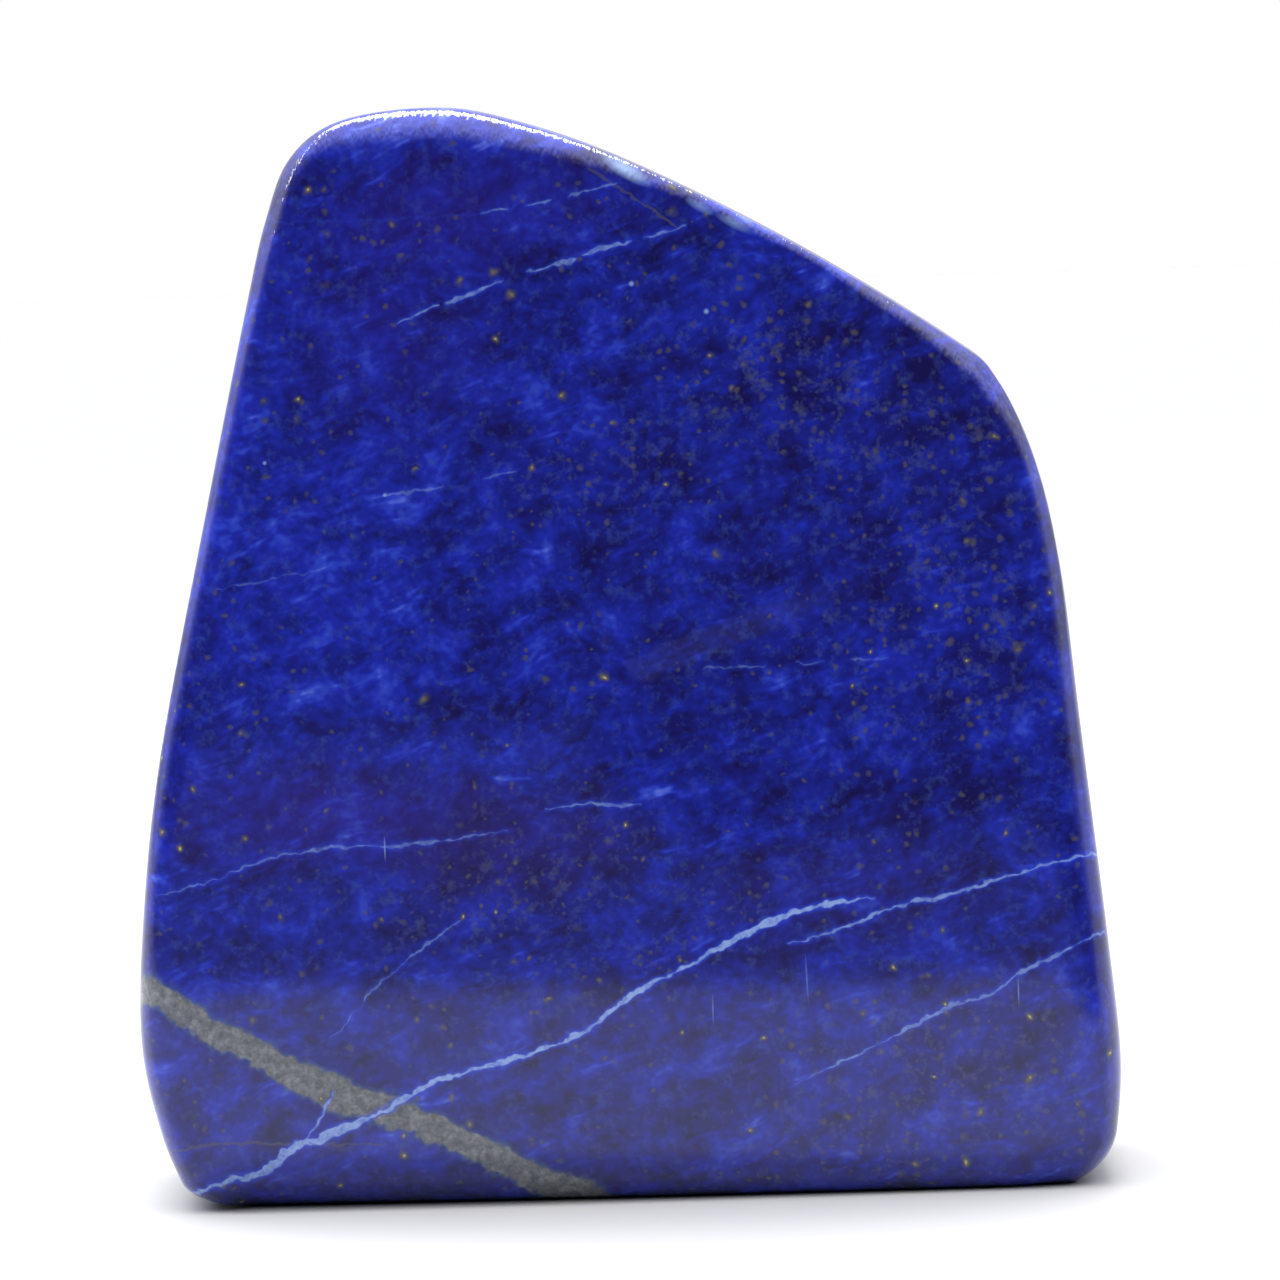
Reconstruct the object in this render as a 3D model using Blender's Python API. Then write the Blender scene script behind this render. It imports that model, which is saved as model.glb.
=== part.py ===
"""Polished lapis lazuli: one freeform stone that stands on a flat cut base.

The stone is a slab sawn to an outline. Both faces are gently crowned and lean towards
each other, and they are rounded over where they meet the wall and the base.
The origin is the middle of the base, +Z is up, and the polished show face looks to -Y.
"""
import math

import bmesh
import bpy
import numpy as np

MM = 0.001

# Driving dimensions of the two faces and the wall, in millimetres
FRONT_AT_BASE = -18.9
BACK_AT_BASE = 20.1
FRONT_LEAN = math.radians(2.6)
BACK_LEAN = math.radians(3.2)
FACE_HALF_WIDTH = 44.0
FACE_HALF_HEIGHT = 50.0
FACE_MIDDLE_Z = 48.0
FRONT_CROWN = 0.9
BACK_CROWN = 2.4
WALL_CROWN = 0.4
WALL_HALF_DEPTH = 18.0

# The outline seen from the front, as x and z, clockwise from the lower left.
# Both ends run on below z = 0, where the flat base cuts them off.
OUTLINE = (
    (-39.1, -4.0),
    (-41.6, 2.0),
    (-43.5, 7.0),
    (-45.0, 15.0),
    (-44.6, 25.5),
    (-42.5, 41.0),
    (-37.3, 64.4),
    (-33.1, 82.6),
    (-31.2, 90.0),
    (-28.8, 95.7),
    (-24.2, 99.0),
    (-16.2, 100.0),
    (-9.5, 99.0),
    (1.4, 95.0),
    (17.0, 86.8),
    (31.4, 77.5),
    (35.2, 73.9),
    (38.5, 66.4),
    (40.6, 56.5),
    (42.1, 41.8),
    (44.2, 21.5),
    (45.0, 11.0),
    (44.3, 3.0),
    (43.4, -4.0),
)

# The front edge around the outline, by direction from the middle of the face in degrees
# (0 is right, 90 is up): the radius of its round-over, how much of that round the front
# face has ground away again, the width of the flat bevel across it, and the radius that
# softens the crease against the front face.
FRONT_EDGE = (
    (14.0, 4.0, 0.3, 0.0, 1.2),
    (27.0, 3.0, 0.3, 1.0, 0.6),
    (34.0, 2.2, 0.2, 1.6, 0.5),
    (38.0, 1.8, 0.2, 1.9, 0.5),
    (43.0, 1.4, 0.2, 1.3, 0.4),
    (49.0, 1.0, 0.1, 0.9, 0.4),
    (56.0, 0.9, 0.1, 0.8, 0.4),
    (64.0, 0.8, 0.1, 0.0, 0.5),
    (72.0, 1.2, 0.1, 0.0, 0.8),
    (79.0, 0.9, 0.1, 0.0, 0.8),
    (87.0, 1.8, 0.1, 0.0, 1.5),
    (95.0, 2.4, 0.2, 0.0, 3.0),
    (102.0, 3.2, 0.2, 0.0, 4.0),
    (111.0, 3.2, 0.3, 0.0, 3.0),
    (117.0, 2.6, 0.8, 0.0, 0.6),
    (120.0, 4.0, 1.2, 0.0, 0.5),
    (124.0, 5.2, 1.5, 0.0, 0.5),
    (135.0, 4.5, 1.4, 0.0, 0.7),
    (150.0, 4.3, 1.4, 0.0, 0.9),
    (190.0, 4.3, 1.4, 0.0, 0.9),
    (225.0, 5.0, 0.8, 0.0, 1.0),
    (315.0, 5.0, 0.4, 0.0, 1.2),
)
EDGE_BLEND = 5
BEVEL_ROUND = 0.4
BACK_EDGE_ROUND = 7.0
BACK_EDGE_GROUND = 0.8
BACK_CREASE_ROUND = 1.5

# Round-over of the base edge, as x and radius
BASE_EDGE = ((-42.0, 2.5), (-35.0, 6.0), (0.0, 4.6), (34.0, 3.4), (42.0, 5.0))

# Grid lines that the sawn slab is cut into, and how they gather at its edges
CUTS_ACROSS = 33
CUTS_DEEP = 13
CUTS_UP = 37
EDGE_CROWDING = 0.72
CORE_SHARE = 0.8
GRIND_STEPS = 40

LAPIS_BLUE = (0.014, 0.020, 0.330, 1.0)
LAPIS_ROUGHNESS = 0.12


def clear_scene():
    for item in list(bpy.data.objects):
        bpy.data.objects.remove(item, do_unlink=True)


def smooth_curve(points, steps):
    """A Catmull-Rom curve through the points, from the first to the last."""
    points = np.array(points)
    ends = (2.0 * points[0] - points[1], 2.0 * points[-1] - points[-2])
    padded = np.vstack((ends[0], points, ends[1]))
    a, b, c, d = padded[:-3], padded[1:-2], padded[2:-1], padded[3:]
    curve = []
    for t in np.linspace(0.0, 1.0, steps, endpoint=False):
        linear = 2.0 * b + (c - a) * t
        square = (2.0 * a - 5.0 * b + 4.0 * c - d) * t ** 2
        cubic = (3.0 * b - a - 3.0 * c + d) * t ** 3
        curve.append(0.5 * (linear + square + cubic))
    return np.stack(curve, axis=1).reshape(-1, 2)


def outline_table():
    """Distance from the middle of the face to the outline, for every direction.

    With it come the cosine of the angle between that direction and the outline's own
    normal, which turns a radial distance into a depth under the wall, and the shape of
    the front edge: its radius, the depth ground away, its bevel and its crease.
    """
    curve = smooth_curve(OUTLINE, 24)
    up = curve[:, 1] - FACE_MIDDLE_Z
    angle = np.arctan2(up, curve[:, 0])
    directions = np.linspace(-math.pi, math.pi, 721)
    reach = np.interp(directions, angle, np.hypot(curve[:, 0], up), period=2.0 * math.pi)
    facing = reach / np.hypot(reach, np.gradient(reach, directions))

    station, *shapes = np.array(FRONT_EDGE).T
    spread = np.hanning(4 * EDGE_BLEND + 3)[1:-1]
    edge = []
    for shape in shapes:
        shape = np.interp(np.degrees(directions[:-1]), station, shape, period=360.0)
        padded = np.pad(shape, 2 * EDGE_BLEND, mode="wrap")
        smooth = np.convolve(padded, spread / spread.sum(), mode="valid")
        edge.append(np.append(smooth, smooth[0]))
    return directions, reach, facing, edge


def rounded(a, b, radius):
    """Depth inside two faces at once, with their edge rounded over."""
    over_a = np.maximum(radius - a, 0.0)
    over_b = np.maximum(radius - b, 0.0)
    return np.maximum(radius, np.minimum(a, b)) - np.hypot(over_a, over_b)


def faces(x, z):
    """Where the crowned front and back faces lie along Y at a place in the outline."""
    up = z - FACE_MIDDLE_Z
    crown = (x / FACE_HALF_WIDTH) ** 2 + (up / FACE_HALF_HEIGHT) ** 2
    front = FRONT_AT_BASE + z * math.tan(FRONT_LEAN) + FRONT_CROWN * crown
    back = BACK_AT_BASE - z * math.tan(BACK_LEAN) - BACK_CROWN * crown
    return front, back


def depth_inside(point, table):
    """Depth of points under the polished surface, negative outside it."""
    x, y, z = point.T
    directions, reach, facing, edge = table
    up = z - FACE_MIDDLE_Z
    angle = np.arctan2(up, x)
    wall = np.interp(angle, directions, reach) - np.hypot(x, up)
    wall = wall * np.interp(angle, directions, facing)
    wall = wall - WALL_CROWN * (y / WALL_HALF_DEPTH) ** 2

    front_y, back_y = faces(x, z)
    front = y - front_y
    back = back_y - y

    radius, ground, bevel, crease = [np.interp(angle, directions, s) for s in edge]
    inside = rounded(wall, front + ground, radius)
    inside = rounded(inside, (wall + front - bevel) / math.sqrt(2.0), BEVEL_ROUND)
    inside = rounded(inside, back + BACK_EDGE_GROUND, BACK_EDGE_ROUND)
    inside = rounded(inside, front, crease)
    inside = rounded(inside, back, BACK_CREASE_ROUND)
    base_x, base_radius = np.array(BASE_EDGE).T
    return rounded(inside, z, np.interp(x, base_x, base_radius))


def sawn_cube():
    """A cube from -1 to 1 with grid lines on all six sides."""
    bm = bmesh.new()
    bmesh.ops.create_cube(bm, size=2.0)
    for axis, cuts in ((0, CUTS_ACROSS), (1, CUTS_DEEP), (2, CUTS_UP)):
        edges = []
        for edge in bm.edges:
            run = edge.verts[1].co - edge.verts[0].co
            if abs(run[axis]) > 1.0:
                edges.append(edge)
        bmesh.ops.subdivide_edges(bm, edges=edges, cuts=cuts, use_grid_fill=True)
    return bm


def crowd(t):
    """Moves evenly spaced lines from -1 to 1 closer together near both ends."""
    return t + EDGE_CROWDING * np.sin(math.pi * t) / math.pi


def slab(share, table):
    """Places points of the cube in a slab with the stone's outline, base and faces."""
    directions, reach = table[:2]
    ring = np.maximum(np.abs(share[:, 0]), np.abs(share[:, 2]))
    width = share[:, 0] * FACE_HALF_WIDTH
    height = share[:, 2] * FACE_HALF_HEIGHT
    angle = np.arctan2(height, width)
    to_base = FACE_MIDDLE_Z / np.maximum(-np.sin(angle), 1.0e-3)
    border = np.minimum(np.interp(angle, directions, reach), to_base)
    x = ring * border * np.cos(angle)
    z = ring * border * np.sin(angle) + FACE_MIDDLE_Z
    front, back = faces(x, z)
    y = share[:, 1] * np.where(share[:, 1] < 0.0, -front, back)
    return np.stack((x, y, z), axis=1)


def grind(bm):
    """Moves every vertex, on a ray from a core plate, to the polished surface."""
    table = outline_table()
    share = crowd(np.array([vert.co for vert in bm.verts]))
    core = slab(share * np.array((CORE_SHARE, 0.0, CORE_SHARE)), table)
    ray = slab(share, table) - core
    near = np.zeros(len(share))
    far = np.full(len(share), 3.0)
    for _ in range(GRIND_STEPS):
        middle = 0.5 * (near + far)
        inside = depth_inside(core + ray * middle[:, None], table) > 0.0
        near = np.where(inside, middle, near)
        far = np.where(inside, far, middle)
    place = core + ray * far[:, None]
    place[np.abs(place[:, 2]) < 1.0e-4, 2] = 0.0
    for vert, point in zip(bm.verts, place * MM):
        vert.co = point


def lapis_material():
    material = bpy.data.materials.new("polished_lapis")
    material.use_nodes = True
    shader = material.node_tree.nodes["Principled BSDF"]
    shader.inputs["Base Color"].default_value = LAPIS_BLUE
    shader.inputs["Roughness"].default_value = LAPIS_ROUGHNESS
    shader.inputs["Metallic"].default_value = 0.0
    return material


def build_stone():
    bm = sawn_cube()
    grind(bm)
    bmesh.ops.recalc_face_normals(bm, faces=bm.faces)
    mesh = bpy.data.meshes.new("lapis_stone")
    bm.to_mesh(mesh)
    bm.free()
    mesh.shade_smooth()
    mesh.materials.append(lapis_material())
    stone = bpy.data.objects.new("lapis_stone", mesh)
    bpy.context.scene.collection.objects.link(stone)
    return stone


clear_scene()
build_stone()
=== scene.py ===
"""Polished lapis lazuli freeform: the finished stone and a pale studio around it.

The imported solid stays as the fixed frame, and a finer stone of the same form, with its
stone pattern and polish, stands in its place. Sizes are in metres unless a name says mm.
"""
import math

import bmesh
import bpy
import numpy as np
from mathutils import Matrix, Vector


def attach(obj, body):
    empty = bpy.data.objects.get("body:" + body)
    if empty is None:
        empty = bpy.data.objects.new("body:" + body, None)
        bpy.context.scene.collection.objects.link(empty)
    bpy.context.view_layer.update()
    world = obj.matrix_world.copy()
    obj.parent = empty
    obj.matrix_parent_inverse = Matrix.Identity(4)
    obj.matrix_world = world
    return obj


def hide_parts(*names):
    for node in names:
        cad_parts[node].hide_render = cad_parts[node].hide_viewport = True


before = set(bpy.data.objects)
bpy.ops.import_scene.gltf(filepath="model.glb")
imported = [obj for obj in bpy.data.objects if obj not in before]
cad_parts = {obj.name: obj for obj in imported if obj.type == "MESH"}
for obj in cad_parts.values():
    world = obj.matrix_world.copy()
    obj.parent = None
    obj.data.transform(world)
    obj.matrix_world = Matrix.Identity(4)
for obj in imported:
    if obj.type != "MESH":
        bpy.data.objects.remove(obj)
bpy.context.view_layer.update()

bl_info = {
    "name": "Polished Lapis Lazuli",
    "version": (1, 0, 0),
    "blender": (4, 5, 0),
    "location": "3D View > Sidebar > Lapis",
    "description": "Builds a polished lapis lazuli freeform and a pale studio for it",
    "category": "Add Mesh",
}

MM = 0.001
FLOOR_HALF = 3.0
STONE_NODE = "lapis_stone"

# The outline seen from the front, as x and z in mm, clockwise from the lower left.
# Both ends run on below z = 0, where the flat base cuts them off.
OUTLINE = (
    (-39.1, -4.0),
    (-41.6, 2.0),
    (-43.5, 7.0),
    (-45.0, 15.0),
    (-44.6, 25.5),
    (-42.5, 41.0),
    (-37.3, 64.4),
    (-33.1, 82.6),
    (-31.2, 90.0),
    (-28.8, 95.7),
    (-24.2, 99.0),
    (-16.2, 100.0),
    (-9.5, 99.0),
    (1.4, 95.0),
    (17.0, 86.8),
    (31.4, 77.5),
    (35.2, 73.9),
    (38.5, 66.4),
    (40.6, 56.5),
    (42.1, 41.8),
    (44.2, 21.5),
    (45.0, 11.0),
    (44.3, 3.0),
    (43.4, -4.0),
)
FACE_MIDDLE_Z = 48.0
FACE_HALF_WIDTH = 44.0
FACE_HALF_HEIGHT = 50.0
WALL_HALF_DEPTH = 18.0

# The front edge around the outline, by direction from the middle of the face in degrees
# (0 is right, 90 is up): the radius of its round-over in mm, how many mm of that round
# the front face has ground away again, the width in mm of the flat bevel across it, and
# the radius in mm that softens the crease against the front face.
FRONT_EDGE = (
    (14.0, 4.0, 0.3, 0.0, 1.2),
    (27.0, 3.0, 0.3, 1.0, 0.6),
    (34.0, 2.2, 0.2, 1.6, 0.5),
    (38.0, 1.8, 0.2, 1.9, 0.5),
    (43.0, 1.4, 0.2, 1.3, 0.4),
    (49.0, 1.0, 0.1, 0.9, 0.4),
    (56.0, 0.9, 0.1, 0.8, 0.4),
    (64.0, 0.8, 0.1, 0.0, 0.5),
    (72.0, 1.2, 0.1, 0.0, 0.8),
    (79.0, 0.9, 0.1, 0.0, 0.8),
    (87.0, 1.8, 0.1, 0.0, 1.5),
    (95.0, 2.4, 0.2, 0.0, 3.0),
    (102.0, 3.2, 0.2, 0.0, 4.0),
    (111.0, 3.2, 0.3, 0.0, 3.0),
    (117.0, 2.6, 0.8, 0.0, 0.6),
    (120.0, 4.0, 1.2, 0.0, 0.5),
    (124.0, 5.2, 1.5, 0.0, 0.5),
    (135.0, 4.5, 1.4, 0.0, 0.7),
    (150.0, 4.3, 1.4, 0.0, 0.9),
    (190.0, 4.3, 1.4, 0.0, 0.9),
    (225.0, 5.0, 0.8, 0.0, 1.0),
    (315.0, 5.0, 0.4, 0.0, 1.2),
)
EDGE_BLEND = 5
BEVEL_ROUND = 0.4
BACK_EDGE_ROUND = 7.0
BACK_EDGE_GROUND = 0.8
BACK_CREASE_ROUND = 1.5

# Round-over of the base edge, as x and radius in mm
BASE_EDGE = ((-42.0, 2.5), (-35.0, 6.0), (0.0, 4.6), (34.0, 3.4), (42.0, 5.0))

EDGE_CROWDING = 0.72
CORE_SHARE = 0.8
GRIND_STEPS = 40

# Everything below is placed in the rock by x, depth behind the show face, and z, in mm.
# Bedding: its bands rise to the right by this much on the show face.
BEDDING = math.radians(17.0)
BED_STRETCH = (1.3, 1.2, 1.0)
WISP_STRETCH = (3.0, 2.0, 1.0)

# How far two scales of folds reach, and how far they push the rock aside
FOLD_SIZE = 9.0
FOLD_SHIFT = 1.2
FRAY_SIZE = 1.1
FRAY_SHIFT = 0.26

# Largest size of each mottling
CLOUD_SIZE = 4.0
WISP_SIZE = 1.6
SPECK_SIZE = 1.1
BEAD_SIZE = 2.2
CALCITE_MOTTLE = 0.9
BAND_MOTTLE = 0.9

# Spacing and radius of the grains: pyrite has a brown halo, a gold body and a bright point, a
# painted glint for its metallic highlight
OLIVE_SPACING = 0.85
OLIVE_RADIUS = 0.42
PYRITE_SPACING = 1.5
PYRITE_RADII = (0.7, 0.4, 0.18)

# Depth that a zone reaches, length and half width that a seam's curves can show, and how
# far outside a seam a place counts past its ends
ZONE_DEPTH = 14.0
SEAM_SPAN = 100.0
SEAM_WIDEST = 2.0
SEAM_GONE = 0.6

# Tone of the plain blue from 0 to 1, and how much the clouds change it
BODY_TONE = 0.395
CLOUD_CONTRAST = 0.34

# Lighter and darker zones: x, z, half width, half height, turn in degrees,
# and how much lighter the zone is. Most follow the rock's own tone; the last two are painted sheen
# along the top edge and the slope edge.
TONE_AND_SHEEN_ZONES = (
    # Lighter over the left half of the show face
    (-27.0, 62.0, 17.0, 26.0, 10.0, 0.15),
    (-5.0, 74.0, 14.0, 9.0, 40.0, 0.08),
    (-13.0, 92.0, 18.0, 6.0, 0.0, 0.06),
    (-17.5, 67.0, 8.0, 4.0, 17.0, 0.10),
    (-29.0, 59.0, 9.0, 6.0, -30.0, 0.16),
    (-24.0, 48.5, 11.0, 3.5, 10.0, 0.18),
    (0.0, 53.0, 6.0, 4.0, 17.0, 0.12),
    (22.5, 47.5, 5.5, 2.4, 17.0, 0.36),
    (34.5, 41.5, 6.5, 1.8, 12.0, 0.26),
    (24.0, 73.5, 4.0, 2.5, 17.0, 0.16),
    (23.5, 62.5, 5.0, 2.5, 17.0, 0.14),
    (8.0, 60.5, 7.0, 3.0, 30.0, 0.10),
    (12.0, 81.0, 8.0, 4.0, -20.0, 0.10),
    # Darker over the right half of the show face
    (20.0, 64.0, 26.0, 20.0, 0.0, -0.12),
    (28.5, 75.0, 8.0, 5.0, -45.0, -0.20),
    (30.0, 36.0, 15.0, 4.5, 0.0, -0.26),
    (5.0, 46.0, 12.0, 10.0, 10.0, -0.10),
    (-12.0, 46.5, 12.0, 2.5, 12.0, -0.14),
    (-8.0, 32.0, 20.0, 7.0, 0.0, -0.10),
    # Painted sheen: lighter along the top edge and along the slope edge, for the milky reflection
    # on their rounded edges
    (-16.0, 98.5, 22.0, 4.5, 0.0, 0.45),
    (20.0, 86.5, 26.0, 4.0, -30.0, 0.25),
)

# Where the blue turns violet, and where it turns to maroon
VIOLET_ZONES = (
    (-27.0, 36.0, 19.0, 7.0, 0.0, 0.45),
    (-12.0, 91.0, 18.0, 7.0, 0.0, 0.35),
    (-20.0, 80.0, 14.0, 14.0, 0.0, 0.25),
)
MAROON_ZONES = (
    (-11.0, 33.0, 15.0, 6.5, 0.0, 0.55),
    (20.0, 28.0, 16.0, 6.0, 0.0, 0.3),
)

# Where pyrite and olive diopside grains lie close together
GRAIN_ZONES = (
    (16.0, 74.0, 14.0, 9.0, -20.0, 1.0),
    (30.0, 62.0, 14.0, 16.0, 0.0, 0.5),
    (-2.0, 66.0, 12.0, 5.0, 10.0, 0.7),
    (-10.0, 30.0, 16.0, 7.0, 20.0, 0.9),
    (3.0, 22.0, 14.0, 5.0, 25.0, 0.8),
    (27.0, 10.0, 22.0, 12.0, 20.0, 0.9),
    (30.0, 50.0, 16.0, 10.0, 0.0, 0.6),
)

# Calcite veins: points along each as x, z and half width, then how far the vein sinks
# for each mm of depth, how much its width swells into beads, and how white it is.
VEINS = {
    "main": (
        ((-41.0, 2.4, 0.20), (-37.6, 3.2, 0.23), (-33.0, 4.6, 0.30), (-31.0, 6.2, 0.49),
         (-27.6, 7.3, 0.41), (-23.0, 9.2, 0.26), (-17.0, 12.1, 0.28), (-13.8, 12.9, 0.25),
         (-8.3, 14.4, 0.24), (-3.7, 16.2, 0.24), (-0.9, 18.5, 0.24), (5.5, 21.7, 0.22),
         (10.2, 24.2, 0.32), (15.7, 26.2, 0.22), (20.0, 27.1, 0.15), (23.0, 27.3, 0.0)),
        0.22, 0.75, 0.85),
    "second": (
        ((13.5, 23.4, 0.0), (16.0, 23.7, 0.08), (19.2, 24.6, 0.12), (22.0, 25.6, 0.20),
         (24.7, 26.5, 0.18), (30.2, 27.7, 0.17), (35.7, 29.3, 0.17), (41.7, 30.9, 0.16),
         (46.0, 32.2, 0.15)),
        0.30, 0.9, 0.62),
    "third": (
        ((13.5, 10.2, 0.0), (17.0, 11.7, 0.08), (21.7, 13.8, 0.13), (24.4, 15.1, 0.16),
         (28.6, 17.2, 0.21), (32.7, 18.4, 0.18), (35.5, 20.2, 0.16), (39.2, 21.9, 0.16),
         (42.9, 24.0, 0.15), (47.0, 26.0, 0.13)),
        0.35, 0.9, 0.5),
    "upper dashed": (
        ((-19.5, 80.2, 0.0), (-17.9, 80.9, 0.12), (-15.8, 81.8, 0.16), (-15.1, 81.9, 0.0),
         (-14.3, 82.0, 0.16), (-12.4, 82.6, 0.18), (-9.8, 83.6, 0.10), (-8.9, 83.8, 0.0),
         (-7.9, 84.1, 0.0), (-6.7, 84.4, 0.18), (-3.2, 85.3, 0.24), (-2.5, 85.6, 0.0),
         (-1.7, 86.0, 0.16), (1.5, 86.8, 0.18), (2.7, 87.1, 0.0), (3.9, 87.4, 0.10),
         (5.6, 87.8, 0.10), (7.5, 88.3, 0.0)),
        -0.25, 0.8, 0.46),
    "upper short": (
        ((-11.5, 89.6, 0.0), (-9.6, 90.0, 0.10), (-8.0, 90.2, 0.0), (-7.0, 90.3, 0.10),
         (-5.5, 90.6, 0.12), (-4.5, 90.9, 0.0), (-2.8, 91.3, 0.10), (-0.5, 91.9, 0.14),
         (1.2, 92.3, 0.0)),
        -0.25, 0.9, 0.34),
    "left thin": (
        ((-43.5, 29.2, 0.0), (-41.4, 29.7, 0.06), (-37.3, 30.8, 0.09), (-34.1, 32.0, 0.11),
         (-29.5, 32.9, 0.11), (-25.9, 33.3, 0.13), (-21.8, 33.2, 0.11), (-17.7, 33.5, 0.11),
         (-11.3, 34.2, 0.05), (-9.0, 34.5, 0.0)),
        0.20, 0.8, 0.36),
    "middle small": (
        ((-7.5, 36.0, 0.0), (-5.6, 36.3, 0.11), (-3.1, 36.6, 0.13), (-1.3, 36.3, 0.20),
         (0.5, 36.3, 0.11), (2.0, 36.4, 0.0)),
        0.10, 0.5, 0.42),
    "left slanting": (
        ((-28.0, 15.8, 0.0), (-25.9, 17.5, 0.10), (-23.6, 20.2, 0.16), (-22.0, 21.5, 0.06),
         (-20.3, 22.8, 0.14), (-17.0, 25.3, 0.13), (-15.0, 26.6, 0.0)),
        0.50, 1.0, 0.34),
    "left faint": (
        ((-37.0, 56.9, 0.0), (-34.6, 57.3, 0.08), (-30.5, 57.9, 0.11), (-26.9, 58.6, 0.07),
         (-24.0, 60.0, 0.0)),
        0.20, 1.3, 0.2),
    "middle faint": (
        ((-22.5, 64.6, 0.0), (-20.3, 65.0, 0.10), (-17.6, 65.4, 0.13), (-15.8, 65.6, 0.10),
         (-14.8, 65.8, 0.0), (-12.5, 66.2, 0.0), (-11.0, 66.4, 0.09), (-8.5, 66.8, 0.0)),
        0.10, 0.9, 0.26),
    "right faint": (
        ((7.0, 48.4, 0.0), (9.1, 48.5, 0.08), (12.7, 48.5, 0.09), (13.6, 48.6, 0.0),
         (15.4, 48.6, 0.0), (16.6, 48.7, 0.09), (20.0, 48.8, 0.0), (21.8, 48.8, 0.10),
         (24.5, 49.0, 0.0)),
        0.10, 0.9, 0.24),
    "lower left spur": (
        ((-33.5, 4.8, 0.0), (-32.0, 5.4, 0.15), (-29.0, 8.2, 0.17), (-27.8, 10.0, 0.16),
         (-27.0, 11.8, 0.0)),
        0.40, 0.7, 0.6),
}

# The pyrite band: points as x, z and half width, with its sinking and its beading
PYRITE_BAND = (
    ((-47.0, 23.2, 1.4), (-44.0, 21.4, 1.4), (-39.1, 17.9, 1.3), (-34.6, 15.4, 1.35),
     (-30.2, 12.7, 1.5), (-25.7, 10.7, 1.55), (-21.2, 9.0, 1.45), (-16.7, 7.0, 1.4),
     (-12.2, 4.7, 1.35), (-7.8, 2.6, 1.3), (-4.0, 1.4, 1.1), (-1.5, 0.8, 0.5), (0.5, 0.4, 0.0)),
    0.35, 0.25)

# A brown thread low on the left and an olive one near the top, in the same way
THREADS = (
    (((-43.0, 6.2, 0.0), (-41.3, 6.4, 0.10), (-35.8, 6.8, 0.10), (-30.4, 6.5, 0.10),
      (-24.0, 6.3, 0.08), (-22.0, 6.2, 0.0)),
     0.20, 0.5),
    (((-1.5, 94.0, 0.0), (0.0, 93.0, 0.14), (2.2, 91.4, 0.16), (4.9, 89.5, 0.16),
      (6.5, 88.2, 0.0)),
     0.0, 0.6),
)

# Fine pale scratches on the show face; pale spots on tiny pits, painted highlights for the bright
# ring of each pit;
# and pale patches along the slope, painted sheen for the milky reflection of its rounded edge;
# given like the zones
SCRATCHES = (
    (7.5, 17.5, 0.09, 1.7, 0.0, 0.4),
    (16.1, 20.0, 0.09, 2.6, 2.0, 0.35),
    (35.3, 18.2, 0.09, 1.6, 0.0, 0.5),
    (-21.8, 33.0, 0.10, 1.3, 0.0, 0.6),
)
PIT_HIGHLIGHTS = (
    (2.1, 83.4, 0.30, 0.30, 0.0, 0.9),
    (8.8, 80.7, 0.30, 0.30, 0.0, 0.9),
    (-31.6, 68.2, 0.22, 0.22, 0.0, 0.8),
    (-20.8, 65.0, 0.22, 0.22, 0.0, 0.8),
)
SLOPE_SHEEN_PATCHES = (
    (1.9, 93.7, 2.8, 0.8, -33.0, 0.9),
    (8.5, 90.2, 1.6, 0.5, -29.0, 0.5),
    (11.5, 88.6, 2.0, 0.5, -29.0, 0.5),
)

# Grinding strokes left on the top edge, coarser than real ones so that they show: how far
# they run along X, Y and Z in mm, and how deep they are in metres
STROKE_SIZE = (0.35, 1.0, 1.0)
STROKE_DEPTH = 0.00004

# How a diamond polish on lapis lazuli shines
POLISH_ROUGHNESS = 0.07
LAPIS_IOR = 1.48

# The board under the stone: how far it reaches in front, its grey and its roughness
BOARD_FRONT = 0.29
BOARD_GREY = (0.40, 0.40, 0.41, 1.0)
BOARD_ROUGHNESS = 0.6

# Glow of the tent low down and overhead, the share of it behind the stone, and the glow
# of the dark room and the dim table that its front opens on
TENT_LOW = 1.25
TENT_OVERHEAD = 4.0
BEHIND_SHARE = 0.45
ROOM_GLOW = 0.03
TABLE_GLOW = 0.26

# Lamps: name, place, what it is aimed at, width and height in metres, and watts
LAMPS = (
    ("top_light", (-0.05, 0.17, 0.6), (0.0, 0.0, 0.1), (0.5, 0.28), 6.5),
    ("left_light", (-0.45, -0.02, 0.42), (0.0, 0.0, 0.09), (0.09, 0.30), 1.3),
)


def srgb(code):
    """Linear RGBA of an sRGB hex colour."""
    channels = [int(code[i:i + 2], 16) / 255.0 for i in (0, 2, 4)]
    linear = [c / 12.92 if c <= 0.04045 else ((c + 0.055) / 1.055) ** 2.4 for c in channels]
    return (*linear, 1.0)


def add(tree, kind, links=None, **settings):
    """Adds a node, sets its properties, and fills or links its inputs.

    An input takes a value, another node's socket, or a node, whose first output it reads.
    """
    node = tree.nodes.new(kind)
    for name, value in settings.items():
        setattr(node, name, value)
    for name, value in (links or {}).items():
        if isinstance(value, bpy.types.Node):
            value = value.outputs[0]
        if isinstance(value, bpy.types.NodeSocket):
            tree.links.new(value, node.inputs[name])
        else:
            node.inputs[name].default_value = value
    return node


def smooth_curve(points, steps):
    """A Catmull-Rom curve through the points, from the first to the last."""
    points = np.array(points)
    ends = (2.0 * points[0] - points[1], 2.0 * points[-1] - points[-2])
    padded = np.vstack((ends[0], points, ends[1]))
    a, b, c, d = padded[:-3], padded[1:-2], padded[2:-1], padded[3:]
    curve = []
    for t in np.linspace(0.0, 1.0, steps, endpoint=False):
        linear = 2.0 * b + (c - a) * t
        square = (2.0 * a - 5.0 * b + 4.0 * c - d) * t ** 2
        cubic = (3.0 * b - a - 3.0 * c + d) * t ** 3
        curve.append(0.5 * (linear + square + cubic))
    return np.stack(curve, axis=1).reshape(-1, 2)


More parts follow.
